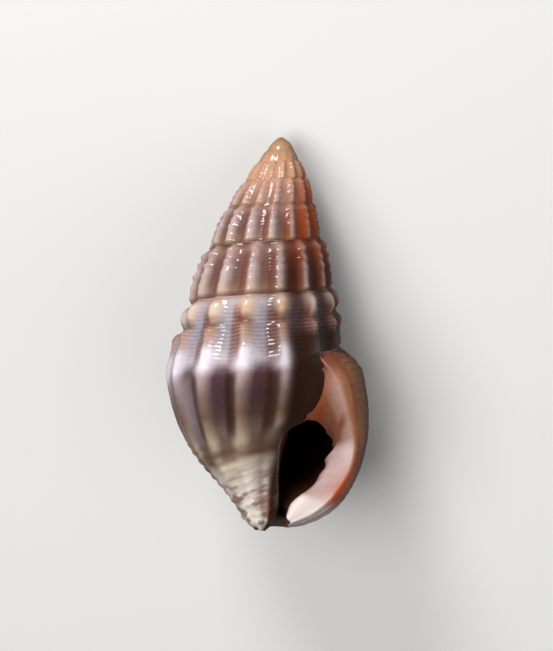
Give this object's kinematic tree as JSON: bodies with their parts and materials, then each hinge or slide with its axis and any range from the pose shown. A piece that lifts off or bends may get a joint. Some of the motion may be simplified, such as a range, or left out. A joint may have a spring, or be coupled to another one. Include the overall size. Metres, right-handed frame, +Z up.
{
  "type": "nassa snail shell",
  "caption": "Slender right-handed sea snail shell with ribbed whorls, a flared toothed lip and a short open canal, lying on its back with the mouth up.",
  "frame": {"origin": "bottom centre of the bounding box, on the surface the shell lies on", "axes": "+Z up, +Y along the shell towards its apex, +X to the side of the outer lip"},
  "size_m": [0.0084, 0.0154, 0.0077],
  "materials": {
    "shell": "glossy porcelain-like shell"
  },
  "bodies": {
    "root": {"shell": "shell"}
  },
  "joints": []
}
